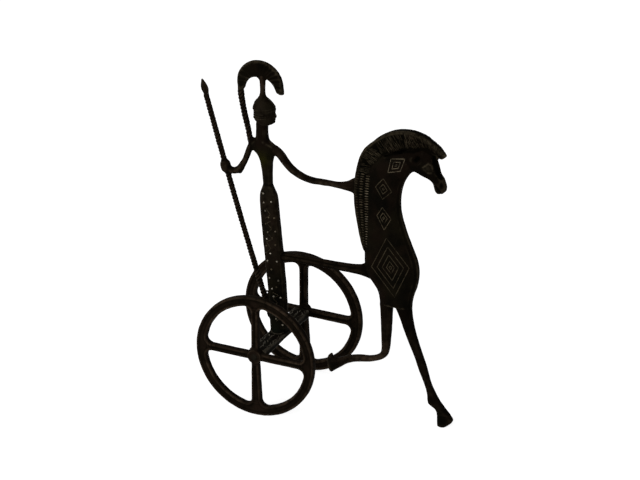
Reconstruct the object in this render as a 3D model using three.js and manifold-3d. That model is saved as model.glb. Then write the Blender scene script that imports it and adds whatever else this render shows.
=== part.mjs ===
// A bronze table figure: a warrior with a spear on a two-wheeled chariot, drawn by a horse whose body is only
// a chest, a neck and two forelegs. Millimetres, +Z up, +X towards the horse, +Y towards the far wheel.

import * as THREE from 'three';
import { mergeVertices } from 'three/addons/utils/BufferGeometryUtils.js';
import Module from 'manifold-3d';

const wasm = await Module();
wasm.setup();

// Gap left at each brazed joint, and the running fits of the wheels on their rivets
const SEAM = 0.3;
const RUNNING_GAP = 0.1;
const SIDE_PLAY = 0.4;

// Wheels, one on each end of the board
const WHEEL_RADIUS = 59.3;
const WHEEL_THICKNESS = 6;
const RIM_WIDTH = 8.8;
const SPOKE_WIDTH = 6.3;
const SPOKE_FLARE = 3;
const RIM_FILLET = 6;
const HUB_FILLET = 3.5;
const HUB_RADIUS = 6.6;
const HUB_THICKNESS = 7.4;
const EDGE_ROUNDING = 0.8;
const TRACK = 101;
const WHEEL_SIDES = 48;

// Rivets that carry the wheels
const RIVET_RADIUS = 2.2;
const RIVET_HEAD_RADIUS = 3.3;
const RIVET_HEAD_HEIGHT = 1.1;
const RIVET_DEPTH = 8;

// Board between the wheels, waisted towards its middle
const BOARD_WIDTH = 16;
const BOARD_BACK_SHIFT = 0.6;
const BOARD_MIDDLE_HEIGHT = 5.2;
const BOARD_END_HEIGHT = 7.8;

// Warrior
const ROBE_HEIGHT = 145.7;
const ROBE_DEPTH = 11;
const TORSO_HEIGHT = 60;
const TORSO_DEPTH = 9.4;
const HEAD_HEIGHT = 26.4;
const HEAD_LENGTH = 21.2;
const HEAD_BREADTH = 17;
const HEAD_FORWARD = 2.1;
const ARM_THICKNESS = 5.4;
const FIST_SIZE = 9;

// Crest over the helmet
const STEM_HEIGHT = 18.6;
const STEM_FORWARD = 0.6;
const STEM_THICKNESS = 5.2;
const PLUME_BACK = 2.3;
const PLUME_RADIUS = 22.6;
const PLUME_WIDTH = 15.7;
const PLUME_TIP_WIDTH = 5.4;
const PLUME_THICKNESS = 5;
const TAIL_THICKNESS = 5.1;

// Spear, leaning back from the foot of the robe
const SPEAR_FOOT_HEIGHT = 16.6;
const SPEAR_LENGTH = 216;
const SPEAR_LEAN = THREE.MathUtils.degToRad(16.95);
const SHAFT_THICKNESS = 5.3;
const SHAFT_BOW = 1.1;
const SHAFT_ROOT = 4;
const SPEARHEAD_LENGTH = 15.5;
const SPEARHEAD_WIDTH = 7.8;
const SPEARHEAD_THICKNESS = 3.6;
const FIST_ALONG_SPEAR = 146;
const FIST_BACK = 0.2;

// Horse
const HORSE_REACH = 100;
const STRAIGHT_LEG_HEIGHT = 113;
const FOLDED_LEG_DROP = 82;
const TRUNK_HEIGHT = 159;
const TRUNK_DEPTH = 17;
const MUZZLE_REACH = 65.3;
const HORSE_HEAD_DEPTH = 14;
const MANE_DEPTH = 11;
const LEG_DEPTH = 9.5;
const BAR_HEIGHT = 76;
const BAR_THICKNESS = 7.2;

// Fineness of the facets
const RING_SIDES = 14;
const ROD_SIDES = 10;
const TWIST_PITCH = 22;
const TWIST_STEPS = 7;

const up = new THREE.Vector2(0, 1);

// Bronze finishes, all near black with a little colour of their own
const finish = (color, roughness) => new THREE.MeshStandardMaterial({ color, roughness, metalness: 0.85 });
const darkBronze = () => finish(0x2a2420, 0.45);
const rubbedBronze = () => finish(0x3a322b, 0.38);
const greenBronze = () => finish(0x2f352c, 0.55);

// Volume inside a closed indexed geometry, negative where its faces point inwards
function volumeOf(geometry) {
  const place = geometry.attributes.position;
  const corner = [new THREE.Vector3(), new THREE.Vector3(), new THREE.Vector3()];
  let six = 0;
  for (let i = 0; i < geometry.index.count; i += 3) {
    corner.forEach((v, k) => v.fromBufferAttribute(place, geometry.index.array[i + k]));
    six += corner[0].dot(corner[1].clone().cross(corner[2]));
  }
  return six / 6;
}

// A closed geometry from rings of as many points each, with a fan over each end
function ringed(rings) {
  const sides = rings[0].length;
  const points = rings.flat();
  const faces = [];
  for (let ring = 0; ring + 1 < rings.length; ring += 1) {
    for (let side = 0; side < sides; side += 1) {
      const next = (side + 1) % sides;
      const low = ring * sides;
      const high = low + sides;
      faces.push(low + side, low + next, high + next, low + side, high + next, high + side);
    }
  }
  const last = (rings.length - 1) * sides;
  for (let side = 1; side + 1 < sides; side += 1) {
    faces.push(0, side + 1, side, last, last + side, last + side + 1);
  }
  const geometry = new THREE.BufferGeometry();
  geometry.setAttribute('position', new THREE.Float32BufferAttribute(points.flatMap((p) => p.toArray()), 3));
  geometry.setIndex(faces);
  return geometry;
}

// The same with its faces pointing out, whichever way round the rings run
function skin(rings) {
  const geometry = ringed(rings);
  return volumeOf(geometry) < 0 ? ringed(rings.map((points) => points.toReversed())) : geometry;
}

// Manifold solid of a closed geometry, and back
function solid(geometry) {
  const bare = geometry.clone();
  bare.deleteAttribute('normal');
  bare.deleteAttribute('uv');
  const merged = mergeVertices(bare, 1e-4);
  const vertProperties = new Float32Array(merged.attributes.position.array);
  return new wasm.Manifold(new wasm.Mesh({
    numProp: 3, vertProperties, triVerts: new Uint32Array(merged.index.array),
  }));
}

function geometryOf(body) {
  const mesh = body.getMesh();
  const geometry = new THREE.BufferGeometry();
  geometry.setAttribute('position', new THREE.Float32BufferAttribute(mesh.vertProperties, 3));
  geometry.setIndex(Array.from(mesh.triVerts));
  return geometry;
}

const join = (...parts) => geometryOf(parts.map(solid).reduce((a, b) => a.add(b)));
const cut = (part, ...tools) => geometryOf(tools.map(solid).reduce((a, b) => a.subtract(b), solid(part)));

// A cross-section of a piece that lies along the figure's middle plane: its two edges there, and half its depth
const section = (a, b, half) => ({ a, b, half });

// Rounded ring of a cross-section, grown all round by some margin
function ring(cross, sides, squareness, grow) {
  const middle = cross.a.clone().add(cross.b).multiplyScalar(0.5);
  const reach = cross.b.clone().sub(middle);
  const length = reach.length();
  reach.multiplyScalar((length + grow) / length);
  const points = [];
  for (let side = 0; side < sides; side += 1) {
    const angle = (2 * Math.PI * (side + 0.5)) / sides;
    const c = Math.cos(angle);
    const s = Math.sin(angle);
    const along = Math.sign(c) * Math.abs(c) ** (2 / squareness);
    const across = Math.sign(s) * Math.abs(s) ** (2 / squareness);
    points.push(new THREE.Vector3(
      middle.x + reach.x * along, (cross.half + grow) * across, middle.y + reach.y * along));
  }
  return points;
}

// Sections put in between on smooth curves through the given ones
function smooth(sections, steps) {
  const curve = (pick) => new THREE.SplineCurve(sections.map(pick));
  const first = curve((s) => s.a);
  const second = curve((s) => s.b);
  const depth = curve((s) => new THREE.Vector2(s.half, 0));
  const count = (sections.length - 1) * steps;
  return Array.from({ length: count + 1 }, (_, i) => {
    const t = i / count;
    return section(first.getPoint(t), second.getPoint(t), depth.getPoint(t).x);
  });
}

// Sections moved out at both ends, so that a cutting tool reaches past the piece it stands for
function lengthened(sections, grow) {
  const move = (from, beside) => {
    const middle = (s) => s.a.clone().add(s.b).multiplyScalar(0.5);
    const step = middle(from).sub(middle(beside)).setLength(grow);
    return section(from.a.clone().add(step), from.b.clone().add(step), from.half);
  };
  const last = sections.length - 1;
  return [move(sections[0], sections[1]), ...sections.slice(1, last), move(sections[last], sections[last - 1])];
}

// A solid through smooth sections
function loft(sections, { steps = 2, sides = RING_SIDES, squareness = 2.4, grow = 0 } = {}) {
  let dense = smooth(sections, steps);
  if (grow > 0) dense = lengthened(dense, grow);
  return skin(dense.map((cross) => ring(cross, sides, squareness, grow)));
}

// Sections drawn as rows of [edge x, edge z, other edge x, other edge z, share of the depth], in a frame of their own
function drawn(rows, { origin, scale, depth }) {
  return rows.map(([ax, az, bx, bz, share]) => section(
    new THREE.Vector2(ax, az).multiplyScalar(scale).add(origin),
    new THREE.Vector2(bx, bz).multiplyScalar(scale).add(origin),
    (share * depth) / 2,
  ));
}

// Sections of an upright column drawn as rows of [height, middle, half width, share of the depth]
function upright(rows, { base, scale, depth }) {
  const edges = rows.map(([height, middle, half, share]) => [middle - half, height, middle + half, height, share]);
  return drawn(edges, { origin: base, scale, depth });
}

// Sections of a limb along a curve, drawn as rows of [share of the way, share of the span to the left, thickness share]
function limb(from, to, rows, { thickness, depth = thickness }) {
  const span = to.clone().sub(from);
  const side = new THREE.Vector2(-span.y, span.x);
  const path = new THREE.SplineCurve(rows.map(([way, left]) => (
    from.clone().addScaledVector(span, way).addScaledVector(side, left))));
  return rows.map(([, , share], i) => {
    const t = i / (rows.length - 1);
    const tangent = path.getTangent(t);
    const normal = new THREE.Vector2(-tangent.y, tangent.x).multiplyScalar((share * thickness) / 2);
    const middle = path.getPoint(t);
    return section(middle.clone().add(normal), middle.clone().sub(normal), (share * depth) / 2);
  });
}

// A square rod twisted about its own length, grown all round by some margin
function twistedRod(points, thickness, grow = 0) {
  const path = new THREE.SplineCurve(points);
  const length = path.getLength();
  const count = Math.ceil((length / TWIST_PITCH) * TWIST_STEPS);
  const rings = [];
  for (let i = 0; i <= count; i += 1) {
    const t = i / count;
    const tangent = path.getTangentAt(t);
    const middle = path.getPointAt(t);
    if (i === 0) middle.addScaledVector(tangent, -grow);
    if (i === count) middle.addScaledVector(tangent, grow);
    const turn = (2 * Math.PI * length * t) / TWIST_PITCH;
    rings.push([0, 1, 2, 3, 4, 5, 6, 7].map((corner) => {
      const angle = turn + (corner * Math.PI) / 4;
      const reach = (thickness / 2) * (corner % 2 ? 0.86 : 1) + grow;
      const across = Math.cos(angle) * reach;
      return new THREE.Vector3(
        middle.x - tangent.y * across, Math.sin(angle) * reach, middle.y + tangent.x * across);
    }));
  }
  return skin(rings);
}

// Wheel

const axleHeight = WHEEL_RADIUS * Math.cos(Math.PI / WHEEL_SIDES);
const hubInnerFace = TRACK / 2 - HUB_THICKNESS / 2;
const hubOuterFace = TRACK / 2 + HUB_THICKNESS / 2;

// One opening between two spokes, in the quarter that its turn gives; its first spoke may widen towards the rim
function wheelOpening(turn, flare) {
  const inner = WHEEL_RADIUS - RIM_WIDTH;
  const edge = SPOKE_WIDTH / 2;
  const slope = flare / inner;
  const tilt = Math.atan(slope);
  const right = Math.PI / 2;

  // Middle of the fillet between the inner side of the rim and a spoke's edge of some slope
  const rimCorner = (rise, steepness) => {
    const lift = edge + RIM_FILLET / Math.cos(steepness);
    const reach = inner - RIM_FILLET;
    const x = (-lift * rise + Math.sqrt(reach ** 2 * (1 + rise ** 2) - lift ** 2)) / (1 + rise ** 2);
    return new THREE.Vector2(x, lift + rise * x);
  };
  const low = rimCorner(slope, tilt);
  const high = rimCorner(0, 0);
  const highMiddle = new THREE.Vector2(high.y, high.x);
  const hubMiddle = new THREE.Vector2(edge + HUB_FILLET, 0);
  hubMiddle.y = edge + HUB_FILLET / Math.cos(tilt) + slope * hubMiddle.x;
  const arc = (middle, radius, start, end, pieces) => Array.from({ length: pieces + 1 }, (_, i) => {
    const angle = start + ((end - start) * i) / pieces;
    return new THREE.Vector2(middle.x + radius * Math.cos(angle), middle.y + radius * Math.sin(angle));
  });
  const outline = [
    ...arc(low, RIM_FILLET, tilt - right, low.angle(), 5),
    ...arc(new THREE.Vector2(), inner, low.angle(), highMiddle.angle(), 9).slice(1),
    ...arc(highMiddle, RIM_FILLET, highMiddle.angle(), 2 * right, 5).slice(1),
    ...arc(hubMiddle, HUB_FILLET, 2 * right, 3 * right + tilt, 4),
  ];
  return new THREE.Path(outline.map((point) => point.rotateAround(new THREE.Vector2(), turn)));
}

function wheel() {
  const rim = new THREE.Shape(Array.from({ length: WHEEL_SIDES }, (_, i) => {
    const angle = (2 * Math.PI * (i + 0.5)) / WHEEL_SIDES;
    return new THREE.Vector2(WHEEL_RADIUS * Math.cos(angle), WHEEL_RADIUS * Math.sin(angle));
  }));
  rim.holes.push(...[0, 1, 2, 3].map((quarter) => (
    wheelOpening((quarter * Math.PI) / 2, quarter === 3 ? SPOKE_FLARE : 0))));
  const disc = new THREE.ExtrudeGeometry(rim, {
    depth: WHEEL_THICKNESS - 2 * EDGE_ROUNDING,
    bevelEnabled: true,
    bevelThickness: EDGE_ROUNDING,
    bevelSize: EDGE_ROUNDING,
    bevelOffset: -EDGE_ROUNDING,
    bevelSegments: 1,
  });
  disc.translate(0, 0, EDGE_ROUNDING - WHEEL_THICKNESS / 2).rotateX(Math.PI / 2);
  const hub = new THREE.CylinderGeometry(HUB_RADIUS, HUB_RADIUS, HUB_THICKNESS, 24);
  const bore = new THREE.CylinderGeometry(
    RIVET_RADIUS + RUNNING_GAP, RIVET_RADIUS + RUNNING_GAP, 2 * HUB_THICKNESS, 24);
  return cut(join(disc, hub), bore);
}

// Rivet along +Y: its shank sits in the board's end, its head holds the wheel on
function rivet() {
  const boardEnd = hubInnerFace - SIDE_PLAY;
  const headFace = hubOuterFace + SIDE_PLAY;
  return new THREE.LatheGeometry([
    new THREE.Vector2(0, boardEnd - RIVET_DEPTH),
    new THREE.Vector2(RIVET_RADIUS, boardEnd - RIVET_DEPTH),
    new THREE.Vector2(RIVET_RADIUS, headFace),
    new THREE.Vector2(RIVET_HEAD_RADIUS, headFace),
    new THREE.Vector2(RIVET_HEAD_RADIUS, headFace + RIVET_HEAD_HEIGHT * 0.4),
    new THREE.Vector2(RIVET_HEAD_RADIUS * 0.7, headFace + RIVET_HEAD_HEIGHT),
    new THREE.Vector2(0, headFace + RIVET_HEAD_HEIGHT),
  ], 24);
}

// Board along Y, lowest and narrowest in the middle, with a blind hole for a rivet in each end
const boardTop = axleHeight + BOARD_MIDDLE_HEIGHT / 2;

function board() {
  const end = hubInnerFace - SIDE_PLAY;
  const corners = [[1, 0.7], [0.88, 1], [-0.88, 1], [-1, 0.7], [-1, -0.7], [-0.88, -1], [0.88, -1], [1, -0.7]];
  const seat = ROBE_DEPTH / 2 / end;
  const rings = [-1, -0.85, -0.5, -seat, seat, 0.5, 0.85, 1].map((share) => {
    const swell = (Math.abs(share) - seat) / (1 - seat);
    const half = THREE.MathUtils.lerp(BOARD_MIDDLE_HEIGHT, BOARD_END_HEIGHT, swell) / 2;
    return corners.map(([x, z]) => new THREE.Vector3(
      x * (BOARD_WIDTH / 2) - BOARD_BACK_SHIFT, share * end, axleHeight + z * half));
  });
  const holes = [1, -1].map((side) => new THREE.CylinderGeometry(
    RIVET_RADIUS + SEAM, RIVET_RADIUS + SEAM, 2 * (RIVET_DEPTH + SEAM), 24,
  ).translate(0, side * end, axleHeight));
  return cut(skin(rings), ...holes);
}

// Warrior

const footMiddle = new THREE.Vector2(-1.2, boardTop);
const robeRows = [
  [0, 0.1, 7.6, 0.9],
  [10, 0.1, 8.1, 0.95],
  [30, -0.4, 8.5, 1],
  [60, -2.7, 8.8, 1],
  [90, -5.6, 8.9, 1],
  [120, -8.3, 8.8, 1],
  [135, -9.5, 8.3, 0.96],
  [140.5, -9.8, 6.3, 0.86],
  [145.7, -10.2, 4.2, 0.76],
];
const robeScale = ROBE_HEIGHT / robeRows.at(-1)[0];
const robeSections = upright(robeRows, { base: footMiddle, scale: robeScale, depth: ROBE_DEPTH });
const waist = robeSections.at(-1).a.clone().lerp(robeSections.at(-1).b, 0.5);
const robe = (grow = 0) => loft(robeSections, { squareness: 3, steps: 2, grow });

const torsoRows = [
  [0, 0, 4.4, 0.85],
  [8, -0.3, 4.6, 0.85],
  [18, -0.9, 5.4, 0.9],
  [24, -1.3, 6.4, 0.95],
  [29, -2.1, 8.2, 1],
  [33, -3.7, 11.2, 1],
  [37, -5.1, 12.6, 0.95],
  [40, -5.4, 11.2, 0.92],
  [43, -5.5, 7.2, 0.95],
  [47, -5.6, 5.7, 1],
  [54, -5.6, 5.4, 1],
  [60, -5.5, 5.6, 1],
];
const torsoScale = TORSO_HEIGHT / torsoRows.at(-1)[0];
const torsoSections = upright(torsoRows, { base: waist, scale: torsoScale, depth: TORSO_DEPTH });
const onTorso = (x, z) => waist.clone().add(new THREE.Vector2(x, z).multiplyScalar(torsoScale));
const torso = (grow = 0) => loft(torsoSections, { squareness: 2.4, steps: 2, grow });

const neckTop = torsoSections.at(-1).a.clone().lerp(torsoSections.at(-1).b, 0.5);
const headTop = neckTop.clone().add(new THREE.Vector2(STEM_FORWARD, HEAD_HEIGHT));

// Head as rings up its height; each row is [height share, middle, half length, half breadth, nose, brow band]
function helmetedHead(grow = 0) {
  const rows = [
    [0, 0.02, 0.27, 0.3, 0, 0],
    [0.05, 0.05, 0.36, 0.36, 0, 0],
    [0.12, 0.03, 0.45, 0.42, 0.01, 0],
    [0.2, 0.01, 0.47, 0.45, 0.02, 0],
    [0.27, 0, 0.48, 0.46, 0.05, 0],
    [0.33, 0.01, 0.46, 0.47, 0.1, 0],
    [0.42, 0.01, 0.46, 0.48, 0.06, 0],
    [0.5, 0, 0.46, 0.48, 0.02, 0.02],
    [0.56, 0, 0.48, 0.5, 0, 0.03],
    [0.62, 0, 0.48, 0.5, 0, 0.02],
    [0.72, -0.01, 0.44, 0.46, 0, 0],
    [0.82, -0.02, 0.35, 0.37, 0, 0],
    [0.91, -0.03, 0.24, 0.26, 0, 0],
    [0.97, -0.03, 0.15, 0.16, 0, 0],
    [1, -0.03, 0.1, 0.1, 0, 0],
  ];
  const sides = 24;
  const rings = rows.map(([share, middle, half, breadth, nose, band]) => (
    Array.from({ length: sides }, (_, i) => {
      const angle = (2 * Math.PI * i) / sides;
      const nosePush = Math.max(0, Math.cos(angle)) ** 40 * nose;
      const x = middle + (half + band) * Math.cos(angle) + nosePush;
      return new THREE.Vector3(
        neckTop.x + HEAD_FORWARD + HEAD_LENGTH * x + Math.sign(Math.cos(angle)) * grow,
        (HEAD_BREADTH * (breadth + band) + grow) * Math.sin(angle),
        neckTop.y + HEAD_HEIGHT * share);
    })));
  return skin(rings);
}

// Crest: a post, a crescent plate and a twisted tail down to the rear shoulder
const stemTop = headTop.clone().add(new THREE.Vector2(0, STEM_HEIGHT));
const plumeCentre = stemTop.clone().add(new THREE.Vector2(-PLUME_BACK, PLUME_WIDTH - PLUME_RADIUS));

function plumeSections() {
  const start = THREE.MathUtils.degToRad(-17);
  const end = THREE.MathUtils.degToRad(203);
  const count = 14;
  return Array.from({ length: count + 1 }, (_, i) => {
    const t = i / count;
    const angle = start + (end - start) * t;
    const width = PLUME_TIP_WIDTH + (PLUME_WIDTH - PLUME_TIP_WIDTH) * Math.sin(Math.PI * t) ** 0.85;
    const out = new THREE.Vector2(Math.cos(angle), Math.sin(angle));
    const outer = plumeCentre.clone().addScaledVector(out, PLUME_RADIUS);
    return section(outer.clone().addScaledVector(out, -width), outer, PLUME_THICKNESS / 2);
  });
}
const plumeCross = plumeSections();
const plume = (grow = 0) => loft(plumeCross, { squareness: 4, steps: 2, sides: 12, grow });

function crestStem() {
  const rows = [[0, 0, 1.15], [0.2, 0, 0.95], [0.6, 0, 0.95], [0.85, 0, 1.05], [1, 0, 1.2]];
  const from = headTop.clone().addScaledVector(up, -1.5);
  const to = stemTop.clone().addScaledVector(up, 2);
  const post = loft(limb(from, to, rows, { thickness: STEM_THICKNESS }), { sides: ROD_SIDES, squareness: 2 });
  return cut(post, helmetedHead(SEAM), plume(SEAM));
}

const plumeEnd = plumeCross.at(-1).a.clone().add(plumeCross.at(-1).b).multiplyScalar(0.5);
const rearShoulder = onTorso(-16.5, 36.5);
const frontShoulder = onTorso(6, 36.5);

// Spear, bowed a little backwards; its foot is brazed into the rear of the robe
const robeRear = (height) => {
  const above = robeSections.findIndex((cross) => cross.a.y > footMiddle.y + height);
  const [low, high] = [robeSections[above - 1].a, robeSections[above].a];
  return low.clone().lerp(high, (footMiddle.y + height - low.y) / (high.y - low.y));
};
const spearFoot = robeRear(SPEAR_FOOT_HEIGHT).add(new THREE.Vector2(-0.2 * SHAFT_THICKNESS, 0));
const alongSpear = new THREE.Vector2(-Math.sin(SPEAR_LEAN), Math.cos(SPEAR_LEAN));
const behindSpear = new THREE.Vector2(-alongSpear.y, alongSpear.x);
const spearPoint = (distance) => spearFoot.clone()
  .addScaledVector(alongSpear, distance)
  .addScaledVector(behindSpear, SHAFT_BOW * Math.sin((Math.PI * distance) / SPEAR_LENGTH));
const fist = spearPoint(FIST_ALONG_SPEAR);
const shaftTop = spearPoint(SPEAR_LENGTH);

function spearShaft(grow = 0) {
  const points = [0, 0.2, 0.4, 0.6, 0.8, 1].map((share) => spearPoint(SPEAR_LENGTH * share));
  points[0].addScaledVector(alongSpear, -SHAFT_ROOT);
  return twistedRod(points, SHAFT_THICKNESS, grow);
}

// Rear arm, bent down and back to the fist on the spear
const rearArmRows = [
  [0, 0, 1.1],
  [0.18, 0.07, 1],
  [0.38, 0.165, 0.98],
  [0.55, 0.224, 1.08],
  [0.75, 0.266, 1.16],
  [0.92, 0.2, 1.1],
  [1, 0.06, 1],
];
const rearArmSections = limb(rearShoulder, fist, rearArmRows, { thickness: ARM_THICKNESS });

function rearArm() {
  const arm = loft(rearArmSections, { sides: ROD_SIDES, squareness: 2, steps: 3 });
  const palm = fist.clone().add(new THREE.Vector2(-FIST_BACK, 0));
  const grip = limb(
    palm.clone().addScaledVector(alongSpear, -0.55 * FIST_SIZE),
    palm.clone().addScaledVector(alongSpear, 0.55 * FIST_SIZE),
    [[0, 0, 0.72], [0.25, 0, 0.98], [0.5, 0, 1], [0.75, 0, 0.98], [1, 0, 0.72]],
    { thickness: FIST_SIZE },
  );
  return cut(join(arm, loft(grip, { sides: ROD_SIDES })), torso(SEAM), spearShaft(SEAM));
}

function crestTail() {
  const shoulderTop = rearShoulder.clone().add(new THREE.Vector2(-1, 3));
  const points = [
    plumeEnd.clone().add(new THREE.Vector2(-1.3, 2)),
    plumeEnd.clone().lerp(shoulderTop, 0.3).add(new THREE.Vector2(-1.6, 0)),
    plumeEnd.clone().lerp(shoulderTop, 0.7).add(new THREE.Vector2(-0.3, 0)),
    shoulderTop,
  ];
  const armTool = loft(rearArmSections, { sides: ROD_SIDES, squareness: 2, steps: 3, grow: SEAM });
  return cut(twistedRod(points, TAIL_THICKNESS), plume(SEAM), torso(SEAM), armTool);
}

function spearHead() {
  const tip = shaftTop.clone().addScaledVector(alongSpear, SPEARHEAD_LENGTH);
  const rows = [[0, 0, 0.6], [0.15, 0, 0.82], [0.35, 0, 1], [0.6, 0, 0.85], [0.85, 0, 0.48], [1, 0, 0.16]];
  const from = shaftTop.clone().addScaledVector(alongSpear, SEAM);
  return loft(limb(from, tip, rows, { thickness: SPEARHEAD_WIDTH, depth: SPEARHEAD_THICKNESS }), { sides: 8, squareness: 1.5 });
}

// Horse. Its rows are drawn from the point between the forelegs, each from the rear edge to the front edge.

const crotch = new THREE.Vector2(HORSE_REACH, STRAIGHT_LEG_HEIGHT);
const trunkRows = [
  [1.6, 0, 32.7, 0, 0.78],
  [0.6, 8, 33.3, 7, 0.85],
  [-2.2, 15, 35, 15, 0.95],
  [-7.9, 22, 37.6, 22, 1],
  [-13, 31, 39.4, 31, 1],
  [-14, 41, 39.6, 39, 1],
  [-14, 51, 37.5, 49, 1],
  [-14.5, 63, 32.6, 61, 0.97],
  [-15.5, 74, 28, 72, 0.93],
  [-16.5, 85, 24.2, 83, 0.9],
  [-17.2, 97, 21.4, 94, 0.88],
  [-17.2, 109, 20.8, 105, 0.87],
  [-15.8, 121, 21.7, 114, 0.86],
  [-13, 132, 24, 122.5, 0.85],
  [-7, 142, 26.6, 128.2, 0.84],
  [1, 150, 29.6, 132.8, 0.83],
  [11, 156, 32, 135.6, 0.83],
  [21, 159, 35, 136.8, 0.83],
];
const trunkScale = TRUNK_HEIGHT / trunkRows.at(-1)[1];
const horseFrame = (depth, scale = trunkScale) => ({ origin: crotch, scale, depth });
const onTrunk = (x, z) => crotch.clone().add(new THREE.Vector2(x, z).multiplyScalar(trunkScale));
const trunkSections = drawn(trunkRows, horseFrame(TRUNK_DEPTH));
const trunk = (grow = 0) => loft(trunkSections, { squareness: 2.3, steps: 2, sides: 16, grow });

const headRows = [
  [21, 159, 35, 136.8, 0.95],
  [31, 161.5, 37, 136.2, 1],
  [40, 162, 41, 134.4, 1],
  [48, 159.5, 45.2, 133, 0.96],
  [54, 154.5, 49.2, 131.6, 0.86],
  [57.7, 147.5, 51.7, 129.8, 0.76],
  [60, 140.5, 53.2, 127.4, 0.66],
  [62.9, 134.4, 53.8, 124.4, 0.6],
  [65.3, 127.5, 54.8, 120.9, 0.56],
  [64.8, 123, 57.4, 119.3, 0.4],
];
const [headRoot] = headRows[0];
const headStretch = (MUZZLE_REACH - headRoot) / (Math.max(...headRows.map(([rear]) => rear)) - headRoot);
const stretched = (x) => headRoot + (x - headRoot) * headStretch;
const horseHeadSections = drawn(
  headRows.map(([ax, az, bx, bz, share]) => [stretched(ax), az, stretched(bx), bz, share]),
  horseFrame(HORSE_HEAD_DEPTH),
);
const horseHead = (grow = 0) => loft(horseHeadSections, { squareness: 2.4, steps: 2, grow });

const maneRows = [
  [-14.4, 50, -11.5, 50.5, 0.7],
  [-15.8, 55, -11.3, 55, 0.9],
  [-17.8, 62, -11.2, 63, 1],
  [-20.2, 72, -11, 73, 1],
  [-22.4, 84, -11, 85, 1],
  [-24, 95, -11, 95, 1],
  [-24.2, 106, -11, 105, 1],
  [-23.8, 117, -10.2, 115, 1],
  [-21.8, 130, -9, 125, 1],
  [-19, 141, -5.5, 134, 1],
  [-14, 150.5, -0.5, 140.5, 1],
  [-7.5, 157, 4, 145.5, 1],
  [0, 164, 9, 148.2, 1],
  [9, 170, 15, 150.5, 1],
  [19, 173.8, 21, 154, 1],
  [29, 175.2, 29, 156.5, 1],
  [38, 174.2, 36.5, 158.5, 0.97],
  [46, 171.8, 43.5, 160, 0.9],
  [53, 167.6, 49.8, 157.5, 0.8],
  [59.5, 163, 55.5, 155, 0.68],
  [65, 157, 61, 153.6, 0.4],
];
const maneSections = drawn(maneRows, horseFrame(MANE_DEPTH));
const mane = (grow = 0) => loft(maneSections, { squareness: 4, steps: 2, sides: 12, grow });

const straightLegRows = [
  [16, 113, 32.7, 113, 1],
  [19.7, 106, 33.2, 105, 1],
  [22.8, 98.5, 34.7, 96.5, 0.98],
  [26.8, 88, 36.9, 87, 0.92],
  [31, 78, 40, 77.5, 0.86],
  [34.8, 69, 43.4, 68.5, 0.8],
  [38.2, 60.5, 46.6, 60, 0.76],
  [41.4, 52, 49.2, 51.5, 0.74],
  [45, 43.5, 51.5, 43.5, 0.74],
  [48, 35.5, 54.3, 36.5, 0.76],
  [49.5, 28.5, 57.4, 30.5, 0.84],
  [50.4, 21.3, 61.2, 24.6, 0.92],
  [56.4, 18.4, 65.4, 18.8, 0.96],
  [59.2, 14.5, 70.2, 13.4, 0.98],
  [59.3, 8, 74.8, 8, 0.98],
  [59.5, 2, 71.2, 3.2, 0.9],
  [59.8, 0, 67, 0, 0.7],
];
const legScale = STRAIGHT_LEG_HEIGHT / straightLegRows[0][1];

function straightForeleg() {
  const hip = new THREE.Vector2(HORSE_REACH, 0);
  const rows = drawn(straightLegRows, { origin: hip, scale: legScale, depth: LEG_DEPTH });
  return cut(loft(rows, { steps: 2 }), trunk(SEAM));
}

const foldedLegRows = [
  [1.4, 0, 13.7, 0, 1],
  [2, -8, 13.2, -9, 1],
  [2.6, -20, 12.7, -21, 0.95],
  [3, -33, 12, -33, 0.86],
  [3.6, -42, 11, -43, 0.8],
  [3.2, -48.7, 9.4, -50.9, 0.78],
  [1, -52.1, 5.9, -55.5, 0.75],
  [-2.5, -54.6, 0.2, -58.9, 0.7],
  [-9.5, -56.9, -8, -61.9, 0.66],
  [-17.5, -57.9, -17, -63.9, 0.66],
  [-25.5, -59.6, -24, -65.8, 0.68],
  [-33.5, -62.4, -30.9, -68.9, 0.7],
  [-41, -66.1, -37.9, -74, 0.8],
  [-45.5, -65.8, -42.9, -78, 0.9],
  [-51, -66.3, -47.1, -81.4, 0.9],
];
const foldScale = FOLDED_LEG_DROP / -foldedLegRows.at(-1)[3];

function foldedForeleg() {
  const rows = drawn(foldedLegRows, { origin: crotch, scale: foldScale, depth: LEG_DEPTH });
  return cut(loft(rows, { steps: 2 }), trunk(SEAM));
}

// Bar from the robe to the horse's chest
const barRows = [
  [0, 0, 1.1],
  [0.25, 0.008, 1],
  [0.5, 0.001, 0.98],
  [0.7, -0.003, 1.05],
  [0.84, 0, 1.3],
  [0.93, 0, 1.85],
  [1, 0.003, 2.6],
];

function draughtBar() {
  const from = footMiddle.clone().add(new THREE.Vector2(-1, BAR_HEIGHT));
  const to = onTrunk(-4, 29);
  const sections = limb(from, to, barRows, { thickness: BAR_THICKNESS });
  sections.forEach((cross) => { cross.half = Math.min(cross.half, BAR_THICKNESS * 0.6); });
  return cut(loft(sections, { sides: ROD_SIDES, steps: 3 }), robe(SEAM), trunk(SEAM));
}

// Front arm, drooping from the shoulder and flaring to the hand on the mane
const frontArmRows = [
  [0, 0, 1.6],
  [0.072, -0.021, 1.5],
  [0.168, -0.088, 1.32],
  [0.25, -0.132, 1.28],
  [0.354, -0.157, 1.24],
  [0.469, -0.156, 1.16],
  [0.58, -0.127, 1.06],
  [0.687, -0.096, 1.02],
  [0.794, -0.067, 1.15],
  [0.892, -0.03, 1.9],
  [0.956, -0.006, 2.75],
  [1, 0.002, 3.1],
];

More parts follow.
